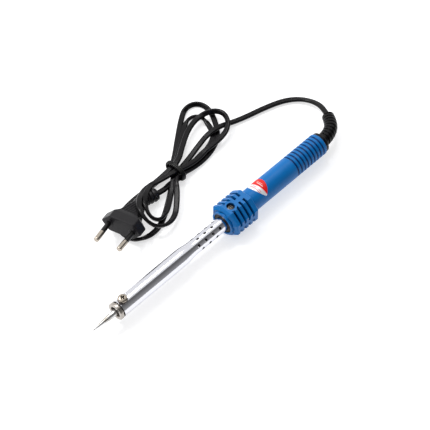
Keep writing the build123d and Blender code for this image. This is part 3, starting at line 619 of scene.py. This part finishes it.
def make_tie():
    """Two turns of coated wire side by side round the hank's waist, each a ring whose y follows
    |cos|^0.72 and whose height follows |sin|^0.8."""
    angle = np.linspace(0, TURN, 121)
    shells = []
    for offset, grow in ((-0.62, 0.0), (0.62, 0.12)):
        c, s = np.cos(angle), np.sin(angle)
        y = 59.2 + (8.3 + grow) * np.sign(c) * np.abs(c) ** 0.72
        z = 5.75 + (4.75 + grow) * np.sign(s) * np.abs(s) ** 0.8
        ring = np.stack([24.0 + offset + 0.35 * np.sin(angle), y, np.maximum(z, 1.0)], -1)
        side = np.broadcast_to((1.0, 0.0, 0.0), ring.shape)
        outward = ring - (24.0, 59.2, 5.75)
        outward[:, 0] = 0
        outward /= np.linalg.norm(outward, axis=1, keepdims=True)
        section = circle(0.95, 20)
        points = ring[:, None] + section[..., :1] * side[:, None] + section[..., 1:] * outward[:, None]
        shells.append(grid_shell(points))
    return fit(solid("hank_tie", shells, 60.0), "iron", "tie_black", "cord_tie")


PLUG_FACE = np.array((-40.9, 47.1, 12.0))
HEADING, TILT = math.radians(197.5), math.radians(10.0)
OUTWARD = np.array((
    math.cos(HEADING) * math.cos(TILT), math.sin(HEADING) * math.cos(TILT), math.sin(TILT),
))
ACROSS = np.array((-math.sin(HEADING), math.cos(HEADING), 0.0))
PLUG_UP = np.cross(OUTWARD, ACROSS)
TAIL_ROOT = PLUG_FACE - 26.0 * OUTWARD
TAIL_ROUTE = [tuple(TAIL_ROOT), tuple(TAIL_ROOT - 6.0 * OUTWARD), (-4.2, 55.4, 5.4), (1.2, 54.4, 5.0)]


def hexagon(width, thickness, slope, rounding):
    """Closed flattened hexagon with eased corners."""
    w, h = width / 2, thickness / 2
    corners = [(w, 0), (w - slope, h), (slope - w, h), (-w, 0), (slope - w, -h), (w - slope, -h)]
    middle = ((w + w - slope) / 2, -h / 2)
    return eased([middle, *corners, middle], rounding, 5)


def make_plug():
    """Loft of flattened hexagons (back, width, thickness, slope) behind the face: a block, a taper, a
    step, and a grip with ridges, where each row is drawn in by the ridge's depth."""
    block = [
        (0.0, 29.0, 11.9, 6.0), (0.2, 30.2, 12.9, 6.1), (0.8, 31.0, 13.7, 6.2),
        (7.1, 31.0, 13.7, 6.2), (7.9, 30.4, 13.6, 6.1), (10.4, 24.4, 12.7, 4.9),
        (10.9, 23.3, 12.2, 4.7), (11.0, 22.6, 11.6, 4.6), (11.02, 20.3, 11.2, 3.0),
    ]
    back = np.linspace(11.3, 25.6, 150)
    share = (back - 11.0) / 15.0
    ridge = 1.1 * smooth(-0.1, 0.7, np.cos(TURN * (back - 11.3) / 1.55)) * smooth(25.6, 24.6, back)
    width, thickness = 20.5 - 9.5 * share - ridge, 11.4 - 2.8 * share - ridge
    rows = [*block, *np.stack([back, width, thickness, np.full(len(back), 3.0)], -1), (26.0, 10.2, 7.8, 2.9)]
    outlines = np.array([hexagon(w, t, s, 0.9 if b < 11.2 else 1.3) for b, w, t, s in rows])
    centres = PLUG_FACE - np.array([row[0] for row in rows])[:, None] * OUTWARD
    points = centres[:, None] + outlines[..., :1] * ACROSS + outlines[..., 1:] * PLUG_UP
    first = np.broadcast_to(centres[:1, None], (1, *points.shape[1:]))
    last = np.broadcast_to(centres[-1:, None], (1, *points.shape[1:]))
    shell = grid_shell(np.concatenate([first, points, last]))
    rims = []
    for side in (-1, 1):
        root = PLUG_FACE + ACROSS * side * 9.3
        rim = eased([(-0.5, 0), (-0.5, 3.3), (0.45, 3.0), (0.45, 0)], [0.1, 0.35], 4)
        rims.append(turned(rim, 48, root, OUTWARD, ACROSS))
    return fit(solid("mains_plug", [shell, *rims], 32.0), "iron", "plug_pvc", "plug_body")


def pin_line(side):
    """Root and direction of a plug pin; the two lean towards each other a little."""
    lean = math.asin((18.6 - 17.5) / 2 / 19.0)
    return PLUG_FACE + ACROSS * side * 9.3, OUTWARD * math.cos(lean) - ACROSS * side * math.sin(lean)


def make_pins():
    """Turned nickel pins with rounded ends and a thin core inside the sleeves, and the sleeves."""
    pins, sleeves = [], []
    for side in (-1, 1):
        root, aim = pin_line(side)
        across = np.cross(aim, PLUG_UP)
        across /= np.linalg.norm(across)
        pin = eased([(-6, 0), (-6, 1.5), (10.0, 1.5), (10.0, 2.0), (19.0, 2.0), (19.0, 0)],
                    [0.1, 0.1, 0.25, 1.4], 6)
        sleeve = eased([(0.1, 1.53), (0.1, 1.85), (9.97, 1.85), (9.97, 1.53), (0.1, 1.53)],
                       [0.1, 0.2, 0.1], 3)
        pins.append(turned(pin, 48, root, aim, across))
        sleeves.append(turned(sleeve, 48, root, aim, across))
    return (
        fit(solid("plug_pin_pair", pins, 40.0), "iron", "nickel_pins", "plug_pins"),
        fit(solid("plug_sleeve_pair", sleeves, 40.0), "iron", "pin_sleeve", "plug_pin_sleeves"),
    )


def make_tail():
    """Bent tail behind the plug's grip, with rounded rings: radius = taper + |sin|^0.7 - 0.4."""
    line = spline_points("tail line", TAIL_ROUTE)
    reach = np.r_[0, np.cumsum(np.linalg.norm(np.diff(line, axis=0), axis=1))]
    s = np.linspace(0, reach[-1], 140)
    path = np.stack([np.interp(s, reach, line[:, axis]) for axis in range(3)], -1)
    share = s / s[-1]
    radius = 4.5 - 0.25 * share + 1.0 * np.abs(np.sin(TURN / 2 * s / 3.3)) ** 0.7 - 0.4
    radius *= np.sqrt(np.clip(1 - smooth(0.93, 1.0, share) * 0.75, 0, 1))
    tail = carried(path, level_side(path), circle(radius[:, None], 48))
    return fit(solid("plug_tail", [tail], 60.0), "iron", "plug_pvc", "plug_strain_relief")


cord, cord_path, cord_length = make_cord()
boot, tie, plug, tail = make_boot(), make_tie(), make_plug(), make_tail()
pins, sleeves = make_pins()
print("cord length", round(cord_length, 4))


# ---------------------------------------------------------------- bit, collar, clamp screw and washer

def make_bit():
    """Turned bit: rounded point, cone, small shoulder and a straight shank with a chamfered rear."""
    profile = eased([
        (-2.8, 0), (-2.75, 0.36), (12.7, 2.2), (13.2, 2.35), (67.5, 2.35), (68.0, 1.85), (68.0, 0),
    ], [0.3, 0.4, 0.3, 0.3, 0.2], 5)
    return fit(solid("bit", [turned(profile)], 25.0), "bit", "tip_plating", "soldering_tip")


def make_collar():
    """Turned nose ring with a dished recess round the bit, a neck behind it and a body in the barrel."""
    profile = eased([
        (18.9, 2.4), (18.9, 3.95), (17.4, 4.15), (17.4, 6.5), (19.9, 6.5), (19.9, 5.3), (21.1, 5.3),
        (21.6, 5.77), (29.0, 5.77), (29.0, 2.4), (18.9, 2.4),
    ], [0.15, 0.25, 0.45, 0.45, 0.1, 0.1, 0.2, 0.2, 0.2], 4)
    return fit(solid("nose_ring", [turned(profile)], 30.0), "iron", "nickel_collar", "nose_collar")


def cross_head(radius, height, bevel, arm, half_slot, depth):
    """Screw head on a disc grid of radius and angle: the top is height minus a dome's fall, minus depth
    where the point lies in either arm of the cross, with sloping walls. Returns (x, y, z) points."""
    share = np.r_[np.linspace(0, 0.72, 56), np.linspace(0.735, 1.0, 22)]
    angle = np.linspace(0, TURN, 145)
    rho = radius * share[:, None]
    x, y = rho * np.cos(angle), rho * np.sin(angle)
    fall = height * bevel * (share[:, None] ** 2.6) + 0 * x

    def in_arm(lengthwise, sideways):
        """1 inside one arm of the cross, easing over the sloping wall."""
        within = smooth(arm, arm - 0.3, np.abs(lengthwise))
        return within * smooth(half_slot + 0.1, half_slot - 0.1, np.abs(sideways))

    cut = np.maximum(in_arm(x, y), in_arm(y, x))
    z = height - fall - depth * cut * (1 - 0.35 * share[:, None] / 0.6)
    return np.stack([x, y, z], -1)


def make_screw():
    """Clamp screw: domed cross head, flat seat, and a shank whose radius follows a thread,
    2 - 0.24 times a triangle wave of height / pitch + angle."""
    pitch, washer_height = 0.7, 0.9
    centre = np.array((TIP_X + SCREW_STATION, 0.0, AXIS_Z))
    seat = BARREL_RADIUS + washer_height
    head = cross_head(3.25, 2.6, 0.34, 1.8, 0.5, 1.2)
    edge = head[-1]
    ring = edge / np.linalg.norm(edge[:, :2], axis=1, keepdims=True)
    skirt = [np.c_[ring[:, :2] * r, np.full(len(ring), z)] for r, z in
             ((3.25, 1.5), (3.25, 0.25), (3.1, 0.0), (2.0, 0.0))]
    height = np.linspace(0, -4.6, 150)
    angle = np.linspace(0, TURN, head.shape[1])
    phase = (height[:, None] / pitch + angle[None] / TURN) % 1.0
    fade = smooth(-0.05, -0.5, height) * smooth(-4.6, -4.2, height)
    chamfer = 0.3 * smooth(-4.3, -4.6, height)[:, None]
    radius = 2.0 - 0.24 * (1 - np.abs(2 * phase - 1)) * fade[:, None] - chamfer
    level = np.broadcast_to(height[:, None], radius.shape)
    shank = np.stack([radius * np.cos(angle), radius * np.sin(angle), level], -1)
    end = np.broadcast_to((0.0, 0.0, -4.6), (1, head.shape[1], 3))
    points = np.concatenate([head, np.array(skirt), shank[1:], end]) + centre + (0, 0, seat)
    return fit(solid("clamp_screw", [grid_shell(points)], 40.0), "screw", "nickel_screw", "tip_screw")


def make_washer():
    """Split spring washer: a rectangular section carried round 350 degrees, rising a little."""
    angle = np.linspace(math.radians(5), math.radians(355), 121)
    section = eased([(2.07, 0.45), (2.07, 0.0), (3.5, 0.0), (3.5, 0.74), (2.07, 0.74), (2.07, 0.45)], 0.12, 3)
    r, z = section.T
    lift = 0.14 * (angle[:, None] - angle[0]) / (angle[-1] - angle[0])
    ring = np.stack([r * np.cos(angle[:, None]), r * np.sin(angle[:, None]), z + lift], -1)
    ends = [np.broadcast_to(row.mean(0), (1, *row.shape)) for row in (ring[0], ring[-1])]
    points = np.concatenate([ends[0], ring, ends[1]]) + (TIP_X + SCREW_STATION, 0.0, AXIS_Z + 6.41)
    piece = solid("spring_washer", [grid_shell(points)], 35.0)
    return fit(piece, "screw_washer", "blued_steel", "tip_screw_washer")


make_bit()
make_collar()
make_screw()
make_washer()


# ---------------------------------------------------------------- barrel

VENT_ROWS = [(row * 45.0, 92.2 + (2.6 if row % 2 == 0 else 0.0), 3 if row % 2 == 0 else 4)
             for row in range(8)]


def barrel_radius(station):
    """Outer radius: 6.4 in front, easing to 5.35 over the neck from 79 to 89.5."""
    t = np.clip((station - NECK_START) / (NECK_END - NECK_START), 0, 1)
    return BARREL_RADIUS - NECK_FALL * (0.5 * t + 0.5 * t * t * (3 - 2 * t))


def make_barrel():
    """Chromed tube with real vents. The wall is unrolled to (station, angle), the vents' outlines are
    cut from a grid of points by a constrained triangulation, and the sheet is rolled up twice, at the
    outer and at the inner radius; a vent of radius v meets a tube of radius R at angle asin(v sin t / R)."""
    wall, seam = BARREL_WALL, math.radians(22.5)
    stations = np.r_[
        BARREL_START, 21.0, 21.4, np.arange(22.0, 28.1, 0.75), 34.0, 50.0, 65.0,
        np.linspace(78.5, 90.5, 14), np.arange(91.2, 114.6, 0.7), 117.0, BARREL_END,
    ]
    angles = seam + np.linspace(0, TURN, 97)
    holes = [(math.radians(a) % TURN, s + 6.8 * place, VENT_RADIUS, REAR_RADIUS)
             for a, s, count in VENT_ROWS for place in range(count)]
    holes.append((0.0, SCREW_STATION, 2.2, BARREL_RADIUS))
    holes = [(a + TURN if a < seam else a, s, v, r) for a, s, v, r in holes]
    count = 32
    t = np.linspace(0, TURN, count, endpoint=False)
    s_grid, a_grid = np.meshgrid(stations, angles, indexing="ij")
    flat_s, flat_a = s_grid.ravel(), a_grid.ravel()
    keep = np.ones(len(flat_s), bool)
    for angle, station, v, r in holes:
        across = r * np.sin(np.clip(flat_a - angle, -1.5, 1.5))
        keep &= np.hypot(flat_s - station, across) > v + 0.22
    rims_s = [station + v * np.cos(t) for _, station, v, _ in holes]
    rims_out = [angle + np.arcsin(v * np.sin(t) / r) for angle, _, v, r in holes]
    rims_in = [angle + np.arcsin(v * np.sin(t) / (r - wall)) for angle, _, v, r in holes]
    s_all = np.concatenate([flat_s[keep], *rims_s])
    a_out = np.concatenate([flat_a[keep], *rims_out])
    a_in = np.concatenate([flat_a[keep], *rims_in])
    first_rim = keep.sum()
    rim = first_rim + np.arange(len(holes) * count).reshape(len(holes), count)
    edges = np.stack([rim, np.roll(rim, -1, axis=1)], -1).reshape(-1, 2)
    sheet = [Vector(pair) for pair in np.stack([s_all, 5.5 * a_out], -1).tolist()]
    _, _, triangles, *_ = delaunay_2d_cdt(sheet, edges.tolist(), [], 0, 1e-7)
    triangles = np.array(triangles)
    middle_s, middle_a = s_all[triangles].mean(1), a_out[triangles].mean(1)
    inside = np.zeros(len(triangles), bool)
    for angle, station, v, r in holes:
        near = np.hypot(middle_s - station, r * np.sin(np.clip(middle_a - angle, -1.5, 1.5))) < v * 0.999
        inside |= near & np.all(triangles >= first_rim, axis=1)
    triangles = triangles[~inside]

    def rolled(s, a, r):
        """Points at station s and angle a from the top towards -Y, at radius r."""
        return np.stack([TIP_X + s, -r * np.sin(a), AXIS_Z + r * np.cos(a)], -1)

    outer = rolled(s_all, a_out, barrel_radius(s_all))
    inner = rolled(s_all, a_in, barrel_radius(s_all) - wall)
    offset = len(s_all)
    following = np.roll(rim, -1, axis=1)
    tunnel = np.stack([rim, following, following + offset, rim + offset], -1).reshape(-1, 4)
    at_ends = []
    for station in (BARREL_START, BARREL_END):
        row = np.flatnonzero(np.abs(s_all[:first_rim] - station) < 1e-6)
        row = row[np.argsort(a_out[row])]
        at_ends.append(np.stack([row[:-1], row[1:], row[1:] + offset, row[:-1] + offset], -1))
    faces = [*triangles.tolist(), *(triangles + offset).tolist(), *tunnel.tolist(),
             *np.concatenate(at_ends).tolist()]
    mesh = bpy.data.meshes.new("barrel")
    mesh.from_pydata((np.concatenate([outer, inner]) * MM).tolist(), [], faces)
    work = bmesh.new()
    work.from_mesh(mesh)
    bmesh.ops.remove_doubles(work, verts=work.verts, dist=1e-7)
    bmesh.ops.recalc_face_normals(work, faces=work.faces)
    work.to_mesh(mesh)
    work.free()
    mesh.shade_smooth()
    true_normals(mesh)
    piece = bpy.data.objects.new("barrel", mesh)
    bpy.context.scene.collection.objects.link(piece)
    return fit(piece, "iron", "barrel_chrome", "barrel_tube")


def true_normals(mesh):
    """Gives the tube's inner and outer faces the normals of the turned surface, square to
    (1, slope of the radius), and leaves the faces of its vents and ends flat."""
    spots = np.zeros(len(mesh.vertices) * 3)
    mesh.vertices.foreach_get("co", spots)
    spots = spots.reshape(-1, 3) / MM
    corner = np.zeros(len(mesh.loops), int)
    mesh.loops.foreach_get("vertex_index", corner)
    totals = np.zeros(len(mesh.polygons), int)
    mesh.polygons.foreach_get("loop_total", totals)
    flat = np.zeros(len(mesh.polygons) * 3)
    mesh.polygons.foreach_get("normal", flat)
    flat = np.repeat(flat.reshape(-1, 3), totals, axis=0)
    station = spots[corner, 0] - TIP_X
    out = spots[corner] - (0, 0, AXIS_Z)
    out[:, 0] = 0
    out /= np.linalg.norm(out, axis=1, keepdims=True)
    out[:, 0] = -(barrel_radius(station + 0.05) - barrel_radius(station - 0.05)) / 0.1
    out /= np.linalg.norm(out, axis=1, keepdims=True)
    agree = (flat * out).sum(1)
    normals = np.where(np.abs(agree)[:, None] > 0.8, out * np.sign(agree)[:, None], flat)
    mesh.normals_split_custom_set(normals.tolist())


make_barrel()


# ---------------------------------------------------------------- handle, label, ring and fixing screws

def make_guard():
    """Octagonal slotted guard: a copy of the CAD handle's mesh, merged, cut off behind the guard,
    capped there, with its flat faces joined and its edges rounded."""
    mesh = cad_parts["handle"].data.copy()
    mesh.name = "guard"
    work = bmesh.new()
    work.from_mesh(mesh)
    bmesh.ops.remove_doubles(work, verts=work.verts, dist=2e-6)
    everything = [*work.verts, *work.edges, *work.faces]
    cut_x = (TIP_X + GUARD_END + 0.06) * MM
    cut = bmesh.ops.bisect_plane(
        work, geom=everything, plane_co=(cut_x, 0, 0), plane_no=(1, 0, 0), clear_outer=True
    )
    rims = [e for e in cut["geom_cut"] if isinstance(e, bmesh.types.BMEdge)]
    bmesh.ops.bridge_loops(work, edges=rims)
    bmesh.ops.dissolve_limit(
        work, angle_limit=math.radians(1.0), verts=work.verts, edges=work.edges, delimit={"NORMAL"}
    )
    bmesh.ops.recalc_face_normals(work, faces=work.faces)
    work.to_mesh(mesh)
    work.free()
    mesh.shade_smooth()
    mesh.set_sharp_from_angle(angle=math.radians(30))
    piece = bpy.data.objects.new("guard", mesh)
    bpy.context.scene.collection.objects.link(piece)
    bevel = piece.modifiers.new("rounded edges", "BEVEL")
    bevel.width = 0.22 * MM
    bevel.segments = 2
    bevel.limit_method = "ANGLE"
    bevel.angle_limit = math.radians(30)
    bevel.harden_normals = True
    return fit(piece, "iron", "handle_blue", "handle")


def make_grip():
    """Smooth grip and nine ring grooves, turned: each groove's floor 0.9 below the surface between
    sloping sides with rounded lips, and a rounded rear end."""
    start, radius, bore = GUARD_END + 0.05, GRIP_RADIUS, 6.2
    grooves = [HANDLE_END - 3.4 - 3.28 * place for place in range(8, -1, -1)]
    corners = [(start, bore), (start, radius)]
    for middle in grooves:
        corners += [(middle - 0.78, radius), (middle - 0.45, radius - 0.9),
                    (middle + 0.45, radius - 0.9), (middle + 0.78, radius)]
    corners += [(HANDLE_END, radius), (HANDLE_END, 4.13), (213.5, 4.13), (213.5, bore), (start, bore)]
    reach = [0.02, *[0.28, 0.18, 0.18, 0.28] * 9, 1.1, 0.3, 0.1, 0.1]
    profile = eased(corners, reach, 4)
    long_part = np.linspace(start + 2, grooves[0] - 2.5, 14)
    at = np.searchsorted(profile[:, 0], long_part)
    profile = np.insert(profile, at, np.c_[long_part, np.full(len(long_part), radius)], axis=0)
    return fit(solid("grip", [turned(profile, 128)], 30.0), "iron", "handle_blue")


def make_label():
    """Oval laid round the grip: the point at share q and angle f of an ellipse (5.8, 8.27) in the plane
    above it wraps onto the grip at angle asin(y / 8.4). A second sheet under it closes the edge."""
    q = np.r_[np.linspace(0, 0.97, 26), 0.985, 0.995, 1.0]
    f = np.linspace(0, TURN, 129)
    along = 5.8 * q[:, None] * np.cos(f)
    wrap = np.degrees(np.arcsin(np.clip(8.27 * q[:, None] * np.sin(f) / GRIP_RADIUS, -1, 1))) + 20.0
    lift = 0.10 * (1 - smooth(0.97, 1.0, q))[:, None] + 0.02

    def laid(height):
        """The oval at a height above the grip; the angle runs towards the cord's side."""
        a = np.radians(wrap)
        r = GRIP_RADIUS + height
        x = TIP_X + LABEL_STATION + along + 0 * r
        return np.stack([x, r * np.sin(a), AXIS_Z + r * np.cos(a)], -1)

    marks = np.stack([(along + 10.0) / 10.0, (wrap + 180.0) / 360.0], -1)
    points = np.concatenate([laid(lift + 0 * along), laid(-0.02 + 0 * along)[::-1]])
    marks = np.concatenate([marks, marks[::-1]])
    return fit(solid("oval_label", [grid_shell(points, marks)], 50.0), "iron", "label_paper", "handle_label")


def make_insulator():
    """Black ring in the guard's mouth, turned with rounded edges."""
    profile = eased([(119.0, 5.38), (119.0, 7.8), (122.0, 7.8), (122.0, 5.38), (119.0, 5.38)],
                    [0.5, 0.2, 0.1], 5)
    return fit(solid("insulator", [turned(profile)], 30.0), "iron", "insulator_black", "heat_insulator_ring")


def make_fixing_screws():
    """Two cross-headed screws, deep in the guard's top and bottom holes."""
    shells = []
    for up in (1.0, -1.0):
        head = cross_head(2.6, 1.8, 0.3, 1.5, 0.42, 0.9)
        ring = head[-1] / np.linalg.norm(head[-1][:, :2], axis=1, keepdims=True)
        rest = [np.c_[ring[:, :2] * r, np.full(len(ring), z)] for r, z in
                ((2.6, 1.0), (2.6, 0.15), (2.45, 0.0), (1.5, 0.0), (1.5, -3.8), (0.0, -3.8))]
        points = np.concatenate([head, np.array(rest)]) + (0, 0, 9.2)
        shells.append(grid_shell(points * (1, up, up) + (TIP_X + 126.6, 0, AXIS_Z)))
    piece = solid("guard_screws", shells, 40.0)
    return fit(piece, "iron", "fixing_steel", "barrel_fixing_screws")


make_guard()
make_grip()
make_label()
make_insulator()
make_fixing_screws()


# ---------------------------------------------------------------- finishes of the CAD pieces kept

for node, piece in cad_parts.items():
    kept = piece.data.materials[0].name.split(".")[0]
    if kept in finishes:
        for place in piece.material_slots:
            place.material = finishes[kept]


# ---------------------------------------------------------------- table and light

def lay_table():
    """Large pale table just under the iron, bright enough to read as a plain ground."""
    finish = bpy.data.materials.new("pale table")
    paint = Paint(finish)
    speck = paint.noise(paint.place(), 12.0, 2.0)
    paint.surface(
        Base_Color=paint.blend(speck, (0.57, 0.57, 0.58), (0.59, 0.59, 0.60)),
        Roughness=0.85,
        Specular_IOR_Level=0.1,
        Emission_Color=(1.0, 1.0, 1.0),
        Emission_Strength=0.62,
    )
    mesh = bpy.data.meshes.new("table")
    mesh.from_pydata([(-6, -6, -5e-5), (6, -6, -5e-5), (6, 6, -5e-5), (-6, 6, -5e-5)], [], [(0, 1, 2, 3)])
    mesh.materials.append(finish)
    table = bpy.data.objects.new("table", mesh)
    bpy.context.scene.collection.objects.link(table)


def light_room():
    """White room, darker in a band above the near side: the level falls at a slanting plane overhead
    and rises again towards the horizon. Seen directly, the room is plain white."""
    room = bpy.data.worlds.new("room")
    bpy.context.scene.world = room
    paint = Paint(room)
    aim = paint.node("ShaderNodeTexCoord", out="Generated")
    slant = math.radians(14.0)
    near = paint.node("ShaderNodeVectorMath", {"operation": "DOT_PRODUCT"},
                      {0: aim, 1: (0.0, -math.cos(slant), -math.sin(slant))}, out="Value")
    band = paint.step(near, -0.03, 0.06)
    rise = paint.step(near, 0.1, 0.97, smooth=False) ** 1.6
    level = 1.0 - band + band * (0.12 + 0.24 * rise)
    seen = paint.node("ShaderNodeLightPath", out="Is Camera Ray")
    grey = paint.blend(level, (0.0, 0.0, 0.0), (1.0, 1.0, 1.0))
    shown = paint.blend(seen, grey, (1.0, 1.0, 1.0))
    glow = paint.node("ShaderNodeBackground", values={"Color": shown, "Strength": 1.0})
    paint.node("ShaderNodeOutputWorld", values={"Surface": glow})


def hang_lamp(name, place, aim, size, power):
    """Soft square lamp that faces a point."""
    lamp = bpy.data.lights.new(name, "AREA")
    lamp.shape, lamp.size, lamp.energy = "SQUARE", size, power
    holder = bpy.data.objects.new(name, lamp)
    bpy.context.scene.collection.objects.link(holder)
    holder.location = place
    holder.rotation_mode = "QUATERNION"
    holder.rotation_quaternion = (Vector(aim) - Vector(place)).to_track_quat("-Z", "Y")


lay_table()
light_room()
hang_lamp("key", (-0.25, 0.85, 1.25), (0, 0, 0), 0.35, 12.0)
hang_lamp("top", (0.5, 0.5, 1.5), (0, 0, 0), 0.4, 5.0)
